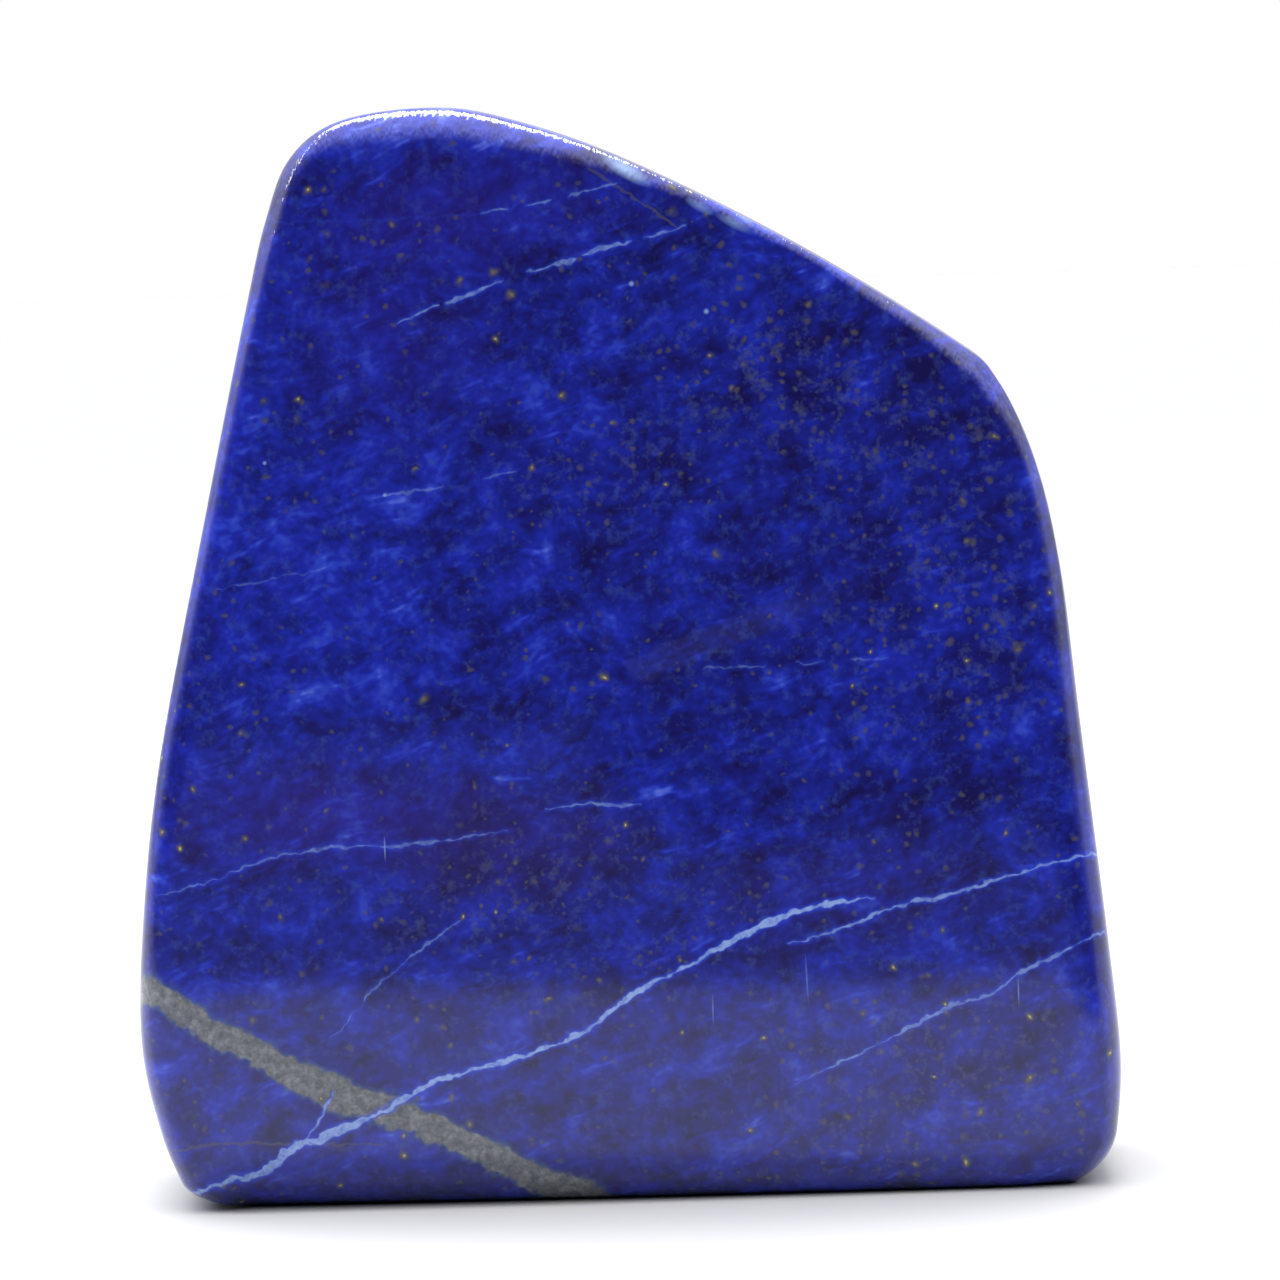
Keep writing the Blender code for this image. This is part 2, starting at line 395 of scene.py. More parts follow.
def outline_table():
    """Distance from the middle of the face to the outline, for every direction.

    With it come the cosine of the angle between that direction and the outline's own
    normal, which turns a radial distance into a depth under the wall, and the shape of
    the front edge: its radius, the depth ground away, its bevel and its crease.
    """
    curve = smooth_curve(OUTLINE, 24)
    up = curve[:, 1] - FACE_MIDDLE_Z
    angle = np.arctan2(up, curve[:, 0])
    directions = np.linspace(-math.pi, math.pi, 721)
    reach = np.interp(directions, angle, np.hypot(curve[:, 0], up), period=2.0 * math.pi)
    facing = reach / np.hypot(reach, np.gradient(reach, directions))

    station, *shapes = np.array(FRONT_EDGE).T
    spread = np.hanning(4 * EDGE_BLEND + 3)[1:-1]
    edge = []
    for shape in shapes:
        shape = np.interp(np.degrees(directions[:-1]), station, shape, period=360.0)
        padded = np.pad(shape, 2 * EDGE_BLEND, mode="wrap")
        smooth = np.convolve(padded, spread / spread.sum(), mode="valid")
        edge.append(np.append(smooth, smooth[0]))
    return directions, reach, facing, edge


def rounded(a, b, radius):
    """Depth inside two faces at once, with their edge rounded over."""
    over_a = np.maximum(radius - a, 0.0)
    over_b = np.maximum(radius - b, 0.0)
    return np.maximum(radius, np.minimum(a, b)) - np.hypot(over_a, over_b)


def faces(x, z, form):
    """Where the crowned front and back faces lie along Y at a place in the outline, in mm."""
    up = z - FACE_MIDDLE_Z
    crown = (x / FACE_HALF_WIDTH) ** 2 + (up / FACE_HALF_HEIGHT) ** 2
    front = form.front_at_base + form.front_crown * crown
    back = form.back_at_base - form.back_crown * crown
    return front / MM + z * math.tan(form.front_lean), back / MM - z * math.tan(form.back_lean)


def depth_inside(point, table, form):
    """Depth in mm of points under the polished surface, negative outside it."""
    x, y, z = point.T
    directions, reach, facing, edge = table
    up = z - FACE_MIDDLE_Z
    angle = np.arctan2(up, x)
    wall = np.interp(angle, directions, reach) - np.hypot(x, up)
    wall = wall * np.interp(angle, directions, facing)
    wall = wall - form.wall_crown / MM * (y / WALL_HALF_DEPTH) ** 2

    front_y, back_y = faces(x, z, form)
    front = y - front_y
    back = back_y - y

    radius, ground, bevel, crease = [np.interp(angle, directions, s) for s in edge]
    inside = rounded(wall, front + ground, radius)
    inside = rounded(inside, (wall + front - bevel) / math.sqrt(2.0), BEVEL_ROUND)
    inside = rounded(inside, back + BACK_EDGE_GROUND, BACK_EDGE_ROUND)
    inside = rounded(inside, front, crease)
    inside = rounded(inside, back, BACK_CREASE_ROUND)
    base_x, base_radius = np.array(BASE_EDGE).T
    return rounded(inside, z, np.interp(x, base_x, base_radius))


def sawn_cube(form):
    """A cube from -1 to 1 with grid lines on all six sides."""
    bm = bmesh.new()
    bmesh.ops.create_cube(bm, size=2.0)
    cuts = (form.cuts_across, form.cuts_deep, form.cuts_up)
    for axis, count in enumerate(cuts):
        edges = []
        for edge in bm.edges:
            run = edge.verts[1].co - edge.verts[0].co
            if abs(run[axis]) > 1.0:
                edges.append(edge)
        bmesh.ops.subdivide_edges(bm, edges=edges, cuts=count, use_grid_fill=True)
    return bm


def crowd(t):
    """Moves evenly spaced lines from -1 to 1 closer together near both ends."""
    return t + EDGE_CROWDING * np.sin(math.pi * t) / math.pi


def slab(share, table, form):
    """Places points of the cube in a slab with the stone's outline, base and faces."""
    directions, reach = table[:2]
    ring = np.maximum(np.abs(share[:, 0]), np.abs(share[:, 2]))
    width = share[:, 0] * FACE_HALF_WIDTH
    height = share[:, 2] * FACE_HALF_HEIGHT
    angle = np.arctan2(height, width)
    to_base = FACE_MIDDLE_Z / np.maximum(-np.sin(angle), 1.0e-3)
    border = np.minimum(np.interp(angle, directions, reach), to_base)
    x = ring * border * np.cos(angle)
    z = ring * border * np.sin(angle) + FACE_MIDDLE_Z
    front, back = faces(x, z, form)
    y = share[:, 1] * np.where(share[:, 1] < 0.0, -front, back)
    return np.stack((x, y, z), axis=1)


def grind(bm, form):
    """Moves every vertex, on a ray from a core plate, to the polished surface."""
    table = outline_table()
    share = crowd(np.array([vert.co for vert in bm.verts]))
    core = slab(share * np.array((CORE_SHARE, 0.0, CORE_SHARE)), table, form)
    ray = slab(share, table, form) - core
    near = np.zeros(len(share))
    far = np.full(len(share), 3.0)
    for _ in range(GRIND_STEPS):
        middle = 0.5 * (near + far)
        inside = depth_inside(core + ray * middle[:, None], table, form) > 0.0
        near = np.where(inside, middle, near)
        far = np.where(inside, far, middle)
    place = core + ray * far[:, None]
    place[np.abs(place[:, 2]) < 1.0e-4, 2] = 0.0
    for vert, point in zip(bm.verts, place * MM):
        vert.co = point


def rock_place(tree, form):
    """Place in the rock as x, depth behind the show face, and z, in mm."""
    where = add(tree, "ShaderNodeTexCoord").outputs["Object"]
    place = add(tree, "ShaderNodeVectorMath", {0: where, "Scale": 1.0 / MM}, operation="SCALE")
    x, y, z = add(tree, "ShaderNodeSeparateXYZ", {0: place}).outputs
    face = add(tree, "ShaderNodeMath", {0: z, 1: -math.tan(form.front_lean), 2: y},
               operation="MULTIPLY_ADD")
    depth = add(tree, "ShaderNodeMath", {0: face, 1: form.front_at_base / MM},
                operation="SUBTRACT")
    return add(tree, "ShaderNodeCombineXYZ", {"X": x, "Y": depth, "Z": z})


def folded(tree, place, size, shift):
    """The same place pushed about by folds of one size, both in mm."""
    fold = add(tree, "ShaderNodeTexNoise", {"Vector": place, "Scale": 1.0 / size, "Detail": 1.0},
               normalize=False)
    return add(tree, "ShaderNodeVectorMath",
               {0: fold.outputs["Color"], 1: (shift, shift, shift), 2: place},
               operation="MULTIPLY_ADD")


def zones(tree, place, patches, start=0.0):
    """Adds up soft oval patches, each strongest on the show face and gone deeper in."""
    total = start
    for x, z, half_width, half_height, turn, strength in patches:
        patch = add(tree, "ShaderNodeTexGradient", {"Vector": place}, gradient_type="SPHERICAL")
        oval = patch.texture_mapping
        oval.vector_type = "TEXTURE"
        oval.translation = (x, 0.0, z)
        oval.rotation = (0.0, -math.radians(turn), 0.0)
        oval.scale = (half_width, ZONE_DEPTH, half_height)
        total = add(tree, "ShaderNodeMath", {0: patch.outputs["Fac"], 1: strength, 2: total},
                    operation="MULTIPLY_ADD")
    return total


def seam(tree, place, beads, line, dip, beading):
    """How deep a place lies inside a thin seam in the rock, in mm, negative outside it.

    The place is its share of the span along X, its depth and its height.
    """
    along, depth, z = place
    curves = []
    for column, full in ((1, SEAM_SPAN), (2, SEAM_WIDEST)):
        node = add(tree, "ShaderNodeFloatCurve", {"Value": along})
        curve = node.mapping.curves[0]
        for point in line[1:-1]:
            curve.points.new(0.5 + point[0] / SEAM_SPAN, point[column] / full)
        for end in (0, -1):
            curve.points[end].location = (0.5 + line[end][0] / SEAM_SPAN, line[end][column] / full)
        node.mapping.extend = "HORIZONTAL"
        node.mapping.update()
        curves.append(node)
    level, width = curves
    sunk = add(tree, "ShaderNodeMath", {0: depth, 1: dip, 2: z}, operation="MULTIPLY_ADD")
    off = add(tree, "ShaderNodeMath", {0: level, 1: -SEAM_SPAN, 2: sunk}, operation="MULTIPLY_ADD")
    off = add(tree, "ShaderNodeMath", {0: off}, operation="ABSOLUTE")
    widest = add(tree, "ShaderNodeMath", {0: beads, 1: beading * SEAM_WIDEST, 2: SEAM_WIDEST},
                 operation="MULTIPLY_ADD")
    half = add(tree, "ShaderNodeMath", {0: width, 1: widest}, operation="MULTIPLY")
    inside = add(tree, "ShaderNodeMath", {0: half, 1: off}, operation="SUBTRACT")
    ended = add(tree, "ShaderNodeMapRange",
                {"Value": width, "From Min": 0.02, "From Max": 0.005, "To Max": SEAM_GONE})
    return add(tree, "ShaderNodeMath", {0: inside, 1: ended}, operation="SUBTRACT")


def grains(tree, place, spacing, share, radii):
    """Round grains scattered through the rock, as one soft mask for each radius in mm."""
    cells = add(tree, "ShaderNodeTexVoronoi", {"Vector": place, "Scale": 1.0 / spacing})
    number = add(tree, "ShaderNodeSeparateXYZ", {0: cells.outputs["Color"]}).outputs
    picked = add(tree, "ShaderNodeMath", {0: number["X"], 1: share}, operation="LESS_THAN")
    masks = []
    for radius in radii:
        reach = add(tree, "ShaderNodeMapRange",
                    {"Value": number["Y"], "To Min": 0.45 * radius / spacing,
                     "To Max": radius / spacing})
        reach = add(tree, "ShaderNodeMath", {0: reach, 1: picked}, operation="MULTIPLY")
        middle = add(tree, "ShaderNodeMath", {0: reach, 1: 0.3}, operation="MULTIPLY")
        masks.append(add(tree, "ShaderNodeMapRange",
                         {"Value": cells.outputs["Distance"], "From Min": reach,
                          "From Max": middle}))
    return masks


def stone_material(form, colours):
    """Lapis lazuli, diamond polished: opaque mottled blue rock under a glassy gloss.

    Soft clouds of lighter and darker blue, greyer specks, beaded pale calcite veins, a grey band
    of fine pyrite and gold grains give the eye one piece of natural rock. Painted sheen lightens
    the top and slope edges, and painted highlights brighten a few pits and the pyrite grains.
    """
    material = bpy.data.materials.new("polished_lapis_lazuli")
    material.use_nodes = True
    tree = material.node_tree
    place = rock_place(tree, form)
    bent = folded(tree, place, FOLD_SIZE, FOLD_SHIFT)
    frayed = folded(tree, place, FRAY_SIZE, FRAY_SHIFT)
    x, depth, z = add(tree, "ShaderNodeSeparateXYZ", {0: frayed}).outputs
    along = add(tree, "ShaderNodeMath", {0: x, 1: 1.0 / SEAM_SPAN, 2: 0.5},
                operation="MULTIPLY_ADD")
    laid = (along, depth, z)
    beds = add(tree, "ShaderNodeMapping",
               {"Vector": bent, "Rotation": (0.0, -BEDDING, 0.0), "Scale": BED_STRETCH},
               vector_type="TEXTURE")

    # Clouds of lighter and darker blue, each octave half as large as the one before
    clouds = add(tree, "ShaderNodeTexNoise",
                 {"Vector": beds, "Scale": 1.0 / CLOUD_SIZE, "Detail": 3.0, "Roughness": 0.8},
                 normalize=False)
    # The zones add the rock's lighter and darker patches, and painted sheen along the top and
    # slope edges
    tone = zones(tree, bent, TONE_AND_SHEEN_ZONES, BODY_TONE)
    tone = add(tree, "ShaderNodeMath", {0: clouds, 1: CLOUD_CONTRAST, 2: tone},
               operation="MULTIPLY_ADD")

    # Pale wisps drawn out along the bedding
    wisps = add(tree, "ShaderNodeMapping", {"Vector": beds, "Scale": WISP_STRETCH},
                vector_type="TEXTURE")
    wisps = add(tree, "ShaderNodeTexNoise",
                {"Vector": wisps, "Scale": 1.0 / WISP_SIZE, "Detail": 2.0, "Roughness": 0.8},
                normalize=False)
    wisps = add(tree, "ShaderNodeMapRange",
                {"Value": wisps, "From Min": 0.25, "From Max": 1.3, "To Max": 0.3},
                interpolation_type="SMOOTHSTEP")
    tone = add(tree, "ShaderNodeMath", {0: wisps, 1: tone}, operation="ADD")

    # The mottling inside the pyrite band, and the colours of the blue and of the band
    mottle = add(tree, "ShaderNodeTexNoise",
                 {"Vector": place, "Scale": 1.0 / BAND_MOTTLE, "Detail": 2.0, "Roughness": 0.8})
    blues = (
        (0.0, colours.midnight), (0.19, colours.night), (0.41, colours.ultramarine),
        (0.63, colours.royal), (0.81, colours.azure), (1.0, colours.pale_blue))
    greys = ((0.25, colours.band_dark), (0.5, colours.band_grey), (0.75, colours.band_light))
    shades = []
    for share, stops in ((tone, blues), (mottle, greys)):
        ramp = add(tree, "ShaderNodeValToRGB", {"Fac": share})
        elements = ramp.color_ramp.elements
        while len(elements) < len(stops):
            elements.new(0.5)
        for element, (position, shade) in zip(elements, stops):
            element.position = position
            element.color = shade
        shades.append(ramp)
    blue, stone = shades

    # Greyer specks, where the lazurite is mixed with other minerals
    grey = add(tree, "ShaderNodeTexNoise",
               {"Vector": place, "Scale": 1.0 / SPECK_SIZE, "Detail": 2.0, "Roughness": 0.75},
               normalize=False)
    grey = add(tree, "ShaderNodeMapRange",
               {"Value": grey, "From Min": 0.1, "From Max": 1.2, "To Max": 0.36})
    violet = zones(tree, bent, VIOLET_ZONES)
    maroon = zones(tree, bent, MAROON_ZONES)

    # Calcite veins in beads, each with a soft rim of brighter blue
    beads = add(tree, "ShaderNodeTexNoise",
                {"Vector": place, "Scale": 1.0 / BEAD_SIZE, "Detail": 2.0, "Roughness": 0.8},
                normalize=False)
    calcite = 0.0
    rim = 0.0
    for line, dip, beading, white in VEINS.values():
        inside = seam(tree, laid, beads, line, dip, beading)
        vein = add(tree, "ShaderNodeMapRange",
                   {"Value": inside, "From Min": -0.05, "From Max": 0.12, "To Max": white},
                   interpolation_type="SMOOTHSTEP")
        calcite = add(tree, "ShaderNodeMath", {0: calcite, 1: vein}, operation="MAXIMUM")
        glow = add(tree, "ShaderNodeMapRange",
                   {"Value": inside, "From Min": -0.4, "From Max": 0.05, "To Max": 0.8 * white},
                   interpolation_type="SMOOTHSTEP")
        rim = add(tree, "ShaderNodeMath", {0: rim, 1: glow}, operation="MAXIMUM")
    cloudy = add(tree, "ShaderNodeTexNoise",
                 {"Vector": frayed, "Scale": 1.0 / CALCITE_MOTTLE, "Detail": 2.0,
                  "Roughness": 0.8})
    cloudy = add(tree, "ShaderNodeMapRange",
                 {"Value": cloudy, "From Min": 0.3, "From Max": 0.6, "To Min": 0.35})
    calcite = add(tree, "ShaderNodeMath", {0: calcite, 1: cloudy}, operation="MULTIPLY")

    # The grey pyrite band with its bluish border
    band = seam(tree, laid, beads, *PYRITE_BAND)
    border = add(tree, "ShaderNodeMapRange",
                 {"Value": band, "From Min": -0.5, "From Max": 0.1, "To Max": 0.75},
                 interpolation_type="SMOOTHSTEP")
    core = add(tree, "ShaderNodeMapRange", {"Value": band, "From Min": -0.12, "From Max": 0.3},
               interpolation_type="SMOOTHSTEP")

    # Fine brown and olive threads
    thread = 0.0
    for line, dip, beading in THREADS:
        inside = seam(tree, laid, beads, line, dip, beading)
        strand = add(tree, "ShaderNodeMapRange",
                     {"Value": inside, "From Min": -0.1, "From Max": 0.08, "To Max": 0.6},
                     interpolation_type="SMOOTHSTEP")
        thread = add(tree, "ShaderNodeMath", {0: thread, 1: strand}, operation="MAXIMUM")

    # Olive grains, and gold pyrite with bright points painted as glints, closer together in the
    # band
    crowded = zones(tree, bent, GRAIN_ZONES)
    crowded = add(tree, "ShaderNodeMath", {0: crowded, 1: core}, operation="ADD")
    olive_share = add(tree, "ShaderNodeMath", {0: crowded, 1: 0.40, 2: 0.12},
                      operation="MULTIPLY_ADD")
    olive, = grains(tree, frayed, OLIVE_SPACING, olive_share, (OLIVE_RADIUS,))
    gold_share = add(tree, "ShaderNodeMath", {0: crowded, 1: 0.28, 2: 0.07},
                     operation="MULTIPLY_ADD")
    brown, gold, painted_glint = grains(tree, frayed, PYRITE_SPACING, gold_share, PYRITE_RADII)

    dust = add(tree, "ShaderNodeMath", {0: grey, 1: crowded}, operation="MULTIPLY")

    # Fine pale scratches, with painted highlights on tiny pits and painted sheen along the slope
    # edge
    scratches_and_sheen = zones(tree, place, SCRATCHES + PIT_HIGHLIGHTS + SLOPE_SHEEN_PATCHES)

    colour = blue
    layers = (
        (grey, colours.slate, 1.0), (violet, colours.violet, 1.0),
        (maroon, colours.maroon, 1.0), (olive, colours.olive, 0.8),
        (dust, colours.olive, 1.8),
        (border, colours.sea_blue, 1.0), (core, stone, 1.0), (thread, colours.olive, 1.0),
        (rim, colours.rim_blue, 1.0), (calcite, colours.calcite, 1.0),
        (brown, colours.olive, 0.7), (gold, colours.gold, 0.9), (painted_glint, colours.painted_glint, 1.0),
        # In the calcite colour: the real scratches, the painted pit highlights and the painted
        # slope sheen
        (scratches_and_sheen, colours.calcite, 1.0),
    )
    for share, shade, strength in layers:
        share = add(tree, "ShaderNodeMath", {0: share, 1: strength}, operation="MULTIPLY",
                    use_clamp=True)
        links = {0: share, 6: colour, 7: shade}
        colour = add(tree, "ShaderNodeMix", links, data_type="RGBA").outputs[2]

    # Fine strokes of the grinding break up the gloss where the top edge is rounded over
    facing = add(tree, "ShaderNodeTexCoord").outputs["Normal"]
    facing = add(tree, "ShaderNodeSeparateXYZ", {0: facing}).outputs["Z"]
    facing = add(tree, "ShaderNodeMapRange", {"Value": facing, "From Min": 0.12, "From Max": 0.4})
    strokes = add(tree, "ShaderNodeMapping", {"Vector": place, "Scale": STROKE_SIZE},
                  vector_type="TEXTURE")
    strokes = add(tree, "ShaderNodeTexNoise", {"Vector": strokes, "Scale": 1.0, "Detail": 1.0},
                  normalize=False)
    strokes = add(tree, "ShaderNodeMath", {0: strokes, 1: facing}, operation="MULTIPLY")
    polish = add(tree, "ShaderNodeBump", {"Height": strokes, "Distance": STROKE_DEPTH})

    shader = tree.nodes["Principled BSDF"]
    tree.links.new(colour, shader.inputs["Base Color"])
    tree.links.new(polish.outputs["Normal"], shader.inputs["Normal"])
    shader.inputs["Roughness"].default_value = POLISH_ROUGHNESS
    shader.inputs["IOR"].default_value = LAPIS_IOR
    return material


class LapisForm(bpy.types.PropertyGroup):
    front_at_base: bpy.props.FloatProperty(
        name="Front at base", description="Depth of the show face where it meets the base",
        default=-0.0189, subtype="DISTANCE", unit="LENGTH")
    back_at_base: bpy.props.FloatProperty(
        name="Back at base", description="Depth of the back face where it meets the base",
        default=0.0201, subtype="DISTANCE", unit="LENGTH")
    front_lean: bpy.props.FloatProperty(
        name="Front lean", description="How far the show face leans back",
        default=math.radians(2.6), subtype="ANGLE", unit="ROTATION")
    back_lean: bpy.props.FloatProperty(
        name="Back lean", description="How far the back face leans forward",
        default=math.radians(3.2), subtype="ANGLE", unit="ROTATION")
    front_crown: bpy.props.FloatProperty(
        name="Front crown", description="Height of the crown of the show face",
        default=0.0009, subtype="DISTANCE", unit="LENGTH")
    back_crown: bpy.props.FloatProperty(
        name="Back crown", description="Height of the crown of the back face",
        default=0.0024, subtype="DISTANCE", unit="LENGTH")
    wall_crown: bpy.props.FloatProperty(
        name="Wall crown", description="Height of the crown of the side wall",
        default=0.0004, subtype="DISTANCE", unit="LENGTH")
    cuts_across: bpy.props.IntProperty(
        name="Lines across", description="Grid lines across the width", default=119, min=3)
    cuts_deep: bpy.props.IntProperty(
        name="Lines deep", description="Grid lines through the depth", default=55, min=3)
    cuts_up: bpy.props.IntProperty(
        name="Lines up", description="Grid lines up the height", default=129, min=3)


class LapisColours(bpy.types.PropertyGroup):
    midnight: bpy.props.FloatVectorProperty(
        name="Midnight", description="The darkest blue",
        subtype="COLOR", size=4, min=0.0, max=1.0, default=srgb("131045"))
    night: bpy.props.FloatVectorProperty(
        name="Night", description="Dark blue zones",
        subtype="COLOR", size=4, min=0.0, max=1.0, default=srgb("15165C"))
    ultramarine: bpy.props.FloatVectorProperty(
        name="Ultramarine", description="Body colour of the lazurite",
        subtype="COLOR", size=4, min=0.0, max=1.0, default=srgb("171D77"))
    royal: bpy.props.FloatVectorProperty(
        name="Royal", description="Bright blue zones",
        subtype="COLOR", size=4, min=0.0, max=1.0, default=srgb("1B2593"))
    azure: bpy.props.FloatVectorProperty(
        name="Azure", description="The brightest blue",
        subtype="COLOR", size=4, min=0.0, max=1.0, default=srgb("283AAA"))
    pale_blue: bpy.props.FloatVectorProperty(
        name="Pale blue", description="Patches mixed with calcite",
        subtype="COLOR", size=4, min=0.0, max=1.0, default=srgb("4F60C1"))
    slate: bpy.props.FloatVectorProperty(
        name="Slate", description="Greyer patches in the blue",
        subtype="COLOR", size=4, min=0.0, max=1.0, default=srgb("364A92"))
    violet: bpy.props.FloatVectorProperty(
        name="Violet", description="Where the blue turns violet",
        subtype="COLOR", size=4, min=0.0, max=1.0, default=srgb("2A1C74"))
    maroon: bpy.props.FloatVectorProperty(
        name="Maroon", description="Where the blue turns maroon",
        subtype="COLOR", size=4, min=0.0, max=1.0, default=srgb("241650"))
    rim_blue: bpy.props.FloatVectorProperty(
        name="Rim blue", description="Brighter blue beside the veins",
        subtype="COLOR", size=4, min=0.0, max=1.0, default=srgb("223BBA"))
    olive: bpy.props.FloatVectorProperty(
        name="Olive", description="Diopside grains and threads",
        subtype="COLOR", size=4, min=0.0, max=1.0, default=srgb("43424B"))
    sea_blue: bpy.props.FloatVectorProperty(
        name="Sea blue", description="Border of the grey band",
        subtype="COLOR", size=4, min=0.0, max=1.0, default=srgb("2E4470"))
    band_dark: bpy.props.FloatVectorProperty(
        name="Band dark", description="Darker stone in the band",
        subtype="COLOR", size=4, min=0.0, max=1.0, default=srgb("3B424E"))
    band_grey: bpy.props.FloatVectorProperty(
        name="Band grey", description="Fine pyrite and diopside of the band",
        subtype="COLOR", size=4, min=0.0, max=1.0, default=srgb("5A5D63"))
    band_light: bpy.props.FloatVectorProperty(
        name="Band light", description="Paler stone in the band",
        subtype="COLOR", size=4, min=0.0, max=1.0, default=srgb("767A80"))
    calcite: bpy.props.FloatVectorProperty(
        name="Calcite", description="Veins",
        subtype="COLOR", size=4, min=0.0, max=1.0, default=srgb("86A0CE"))
    gold: bpy.props.FloatVectorProperty(
        name="Gold", description="Pyrite grains",
        subtype="COLOR", size=4, min=0.0, max=1.0, default=srgb("625C45"))
    # Painted glint: the bright point of each pyrite grain stands in for its metallic highlight
    painted_glint: bpy.props.FloatVectorProperty(
        name="Glint", description="Bright points of pyrite",
        subtype="COLOR", size=4, min=0.0, max=1.0, default=srgb("A8A27F"))


class LapisStudio(bpy.types.PropertyGroup):
    camera_distance: bpy.props.FloatProperty(
        name="Camera distance", description="From the camera to the middle of the stone",
        default=0.6, subtype="DISTANCE", unit="LENGTH")
    camera_elevation: bpy.props.FloatProperty(
        name="Camera elevation", description="Angle of the view above the horizon",
        default=math.radians(4.0), subtype="ANGLE", unit="ROTATION")
    camera_roll: bpy.props.FloatProperty(
        name="Camera roll", description="Tilt of the camera about its own axis",
        default=math.radians(-1.74), subtype="ANGLE", unit="ROTATION")
    frame_width: bpy.props.FloatProperty(
        name="Frame width", description="Width seen by the camera at the stone",
        default=0.1192, subtype="DISTANCE", unit="LENGTH")
    aim_x: bpy.props.FloatProperty(
        name="Aim sideways", description="Sideways place of the middle of the picture",
        default=0.0019, subtype="DISTANCE", unit="LENGTH")
    aim_z: bpy.props.FloatProperty(
        name="Aim height", description="Height of the middle of the picture",
        default=0.05005, subtype="DISTANCE", unit="LENGTH")


class LAPIS_OT_stone(bpy.types.Operator):
    """Grinds and polishes the lapis stone"""
    bl_idname = "lapis.stone"
    bl_label = "Polished stone"

    def execute(self, context):
        form = context.scene.lapis_form
        bm = sawn_cube(form)
        grind(bm, form)
        bmesh.ops.recalc_face_normals(bm, faces=bm.faces)
        mesh = bpy.data.meshes.new("polished_stone")
        bm.to_mesh(mesh)
        bm.free()
        mesh.shade_smooth()
        mesh.materials.append(stone_material(form, context.scene.lapis_colours))
        stone = bpy.data.objects.new("polished_stone", mesh)
        context.scene.collection.objects.link(stone)
        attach(stone, "root")
        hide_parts(STONE_NODE)
        return {"FINISHED"}


def floor_material():
    material = bpy.data.materials.new("matt_white_board")
    material.use_nodes = True
    shader = material.node_tree.nodes["Principled BSDF"]
    shader.inputs["Base Color"].default_value = BOARD_GREY
    shader.inputs["Roughness"].default_value = BOARD_ROUGHNESS
    return material


def lay_floor(scene):
    """A pale board that ends a little in front of the stone and runs on far behind it."""
    bm = bmesh.new()
    bmesh.ops.create_grid(bm, x_segments=1, y_segments=1, size=FLOOR_HALF)
    bmesh.ops.translate(bm, verts=bm.verts, vec=(0.0, FLOOR_HALF - BOARD_FRONT, 0.0))
    mesh = bpy.data.meshes.new("floor")
    bm.to_mesh(mesh)
    bm.free()
    mesh.materials.append(floor_material())
    floor = bpy.data.objects.new("floor", mesh)
    scene.collection.objects.link(floor)


def hang_light(scene, name, place, aim, size, watts):
    lamp = bpy.data.lights.new(name, "AREA")
    lamp.shape = "RECTANGLE"
    lamp.size, lamp.size_y = size
    lamp.energy = watts
    light = bpy.data.objects.new(name, lamp)
    light.location = place
    light.rotation_euler = (Vector(aim) - Vector(place)).to_track_quat("-Z", "Y").to_euler()
    light.visible_camera = False
    scene.collection.objects.link(light)


def light_tent(scene):
    """A white tent, brighter overhead, whose front opens on a dim room and a dim table."""
    world = bpy.data.worlds.new("light_tent")
    scene.world = world
    world.use_nodes = True
    tree = world.node_tree
    background = tree.nodes["Background"]
    look = add(tree, "ShaderNodeTexCoord").outputs["Generated"]
    x, y, z = add(tree, "ShaderNodeSeparateXYZ", {0: look}).outputs
    tent = add(tree, "ShaderNodeMapRange",
               {"Value": z, "From Min": 0.0, "From Max": 1.0, "To Min": TENT_LOW,
                "To Max": TENT_OVERHEAD})
    behind = add(tree, "ShaderNodeMapRange",
                 {"Value": y, "From Min": 0.2, "From Max": 0.75, "To Min": 1.0,
                  "To Max": BEHIND_SHARE})
    tent = add(tree, "ShaderNodeMath", {0: tent, 1: behind}, operation="MULTIPLY")
    ahead = add(tree, "ShaderNodeMapRange", {"Value": y, "From Min": 0.45, "From Max": -0.65},
                interpolation_type="SMOOTHSTEP")
    low = add(tree, "ShaderNodeMapRange", {"Value": z, "From Min": 0.9, "From Max": 0.25},
              interpolation_type="SMOOTHSTEP")
    opening = add(tree, "ShaderNodeMath", {0: ahead, 1: low}, operation="MULTIPLY")
    glow = add(tree, "ShaderNodeMix", {"Factor": opening, "A": tent, "B": ROOM_GLOW})
    side = add(tree, "ShaderNodeMapRange",
               {"Value": x, "From Min": -0.05, "From Max": 0.05, "To Min": 0.0, "To Max": 0.03},
               interpolation_type="SMOOTHSTEP")
    edge = add(tree, "ShaderNodeMath", {0: z, 1: side}, operation="ADD")
    table = add(tree, "ShaderNodeMapRange", {"Value": edge, "From Min": 0.004, "From Max": -0.004})
    table = add(tree, "ShaderNodeMath", {0: table, 1: ahead}, operation="MULTIPLY")
    glow = add(tree, "ShaderNodeMix", {"Factor": table, "A": glow, "B": TABLE_GLOW})
    seen = add(tree, "ShaderNodeLightPath").outputs["Is Camera Ray"]
    power = add(tree, "ShaderNodeMix", {"Factor": seen, "A": glow, "B": 1.0})
    tree.links.new(power.outputs[0], background.inputs["Strength"])
    background.inputs["Color"].default_value = (1.0, 1.0, 1.0, 1.0)


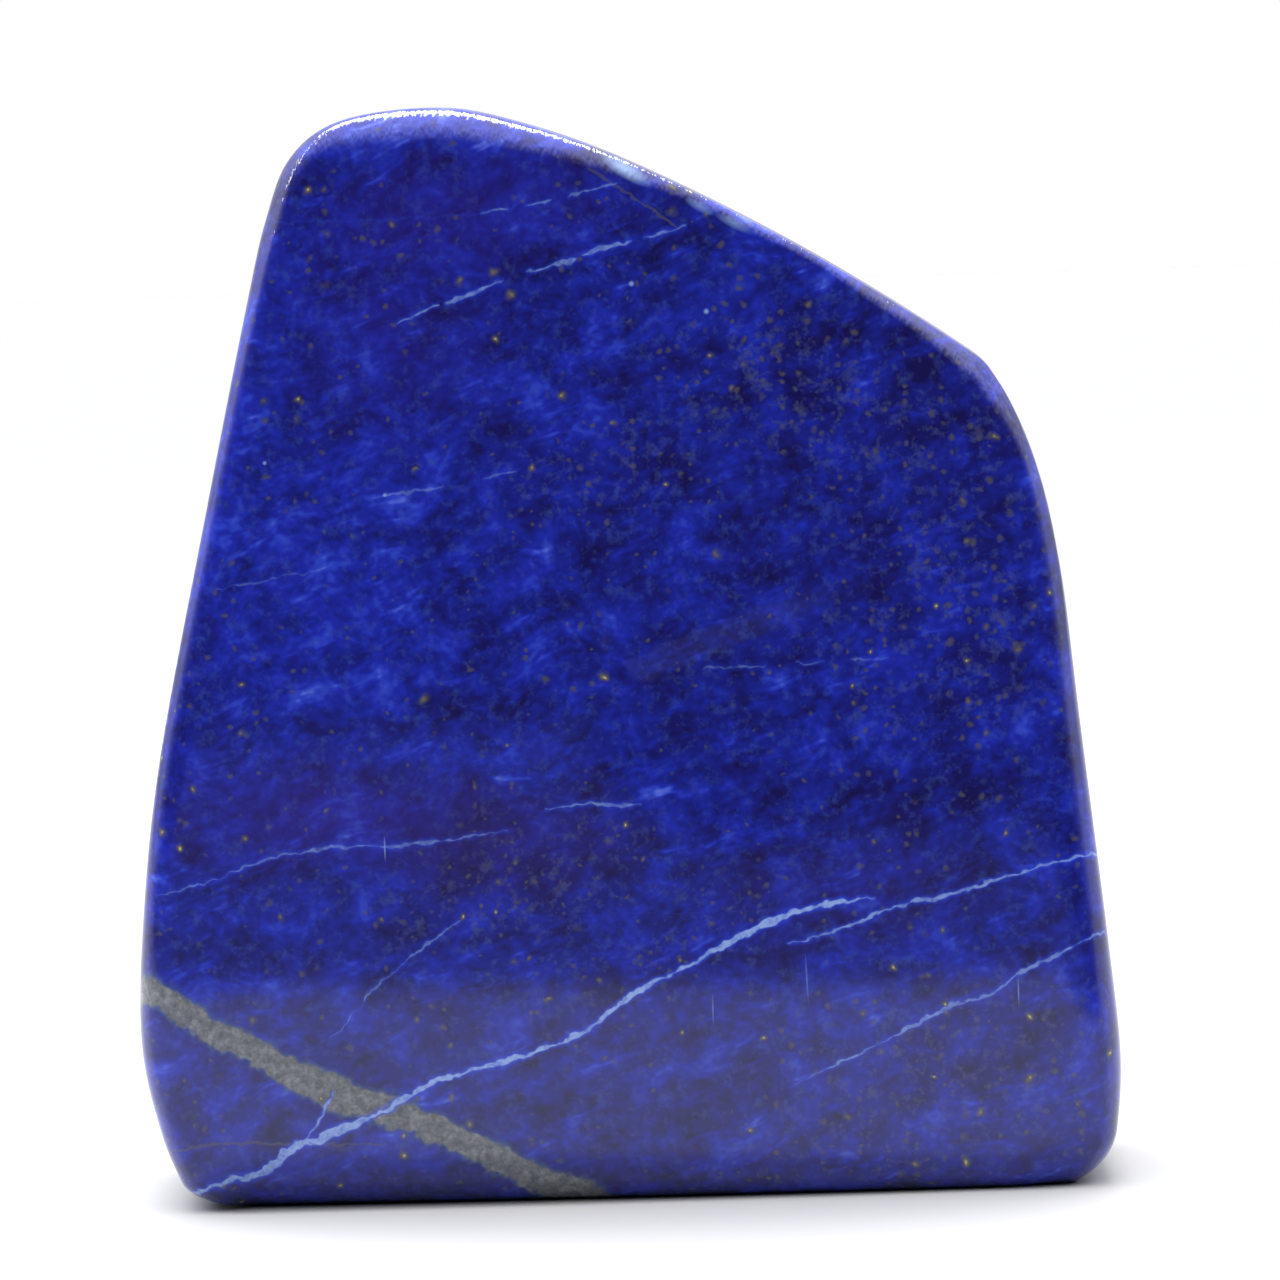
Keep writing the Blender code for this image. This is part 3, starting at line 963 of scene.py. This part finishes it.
class LAPIS_OT_stage(bpy.types.Operator):
    """Sets up the pale floor, the soft studio light and the camera"""
    bl_idname = "lapis.stage"
    bl_label = "Studio"

    def execute(self, context):
        scene = context.scene
        studio = scene.lapis_studio
        lay_floor(scene)
        light_tent(scene)
        for lamp in LAMPS:
            hang_light(scene, *lamp)

        lens = bpy.data.cameras.new("camera")
        lens.sensor_width = 36.0
        lens.lens = lens.sensor_width * studio.camera_distance / studio.frame_width
        camera = bpy.data.objects.new("camera", lens)
        aim = Vector((studio.aim_x, 0.0, studio.aim_z))
        turn = Matrix.Rotation(math.pi / 2.0 - studio.camera_elevation, 4, "X")
        roll = Matrix.Rotation(studio.camera_roll, 4, "Z")
        step_back = Matrix.Translation((0.0, 0.0, studio.camera_distance))
        camera.matrix_world = Matrix.Translation(aim) @ turn @ step_back @ roll
        scene.collection.objects.link(camera)
        scene.camera = camera
        scene.view_settings.view_transform = "Standard"
        scene.view_settings.look = "None"
        return {"FINISHED"}


class LAPIS_PT_panel(bpy.types.Panel):
    """Lists the pieces of the lapis scene and their settings"""
    bl_label = "Lapis"
    bl_idname = "LAPIS_PT_panel"
    bl_space_type = "VIEW_3D"
    bl_region_type = "UI"
    bl_category = "Lapis"

    def draw(self, context):
        layout = self.layout
        for operator in OPERATORS:
            layout.operator(operator.bl_idname)
        for name in GROUPS:
            group = getattr(context.scene, name)
            box = layout.box()
            for prop in group.bl_rna.properties:
                if prop.identifier not in {"rna_type", "name"}:
                    box.prop(group, prop.identifier)


OPERATORS = (LAPIS_OT_stone, LAPIS_OT_stage)
GROUPS = {
    "lapis_form": LapisForm,
    "lapis_colours": LapisColours,
    "lapis_studio": LapisStudio,
}


def register():
    for name, group in GROUPS.items():
        bpy.utils.register_class(group)
        setattr(bpy.types.Scene, name, bpy.props.PointerProperty(type=group))
    for operator in OPERATORS:
        bpy.utils.register_class(operator)
    bpy.utils.register_class(LAPIS_PT_panel)


def unregister():
    bpy.utils.unregister_class(LAPIS_PT_panel)
    for operator in reversed(OPERATORS):
        bpy.utils.unregister_class(operator)
    for name, group in reversed(GROUPS.items()):
        delattr(bpy.types.Scene, name)
        bpy.utils.unregister_class(group)


def main():
    register()
    bpy.ops.lapis.stone()
    bpy.ops.lapis.stage()


if __name__ == "__main__":
    main()
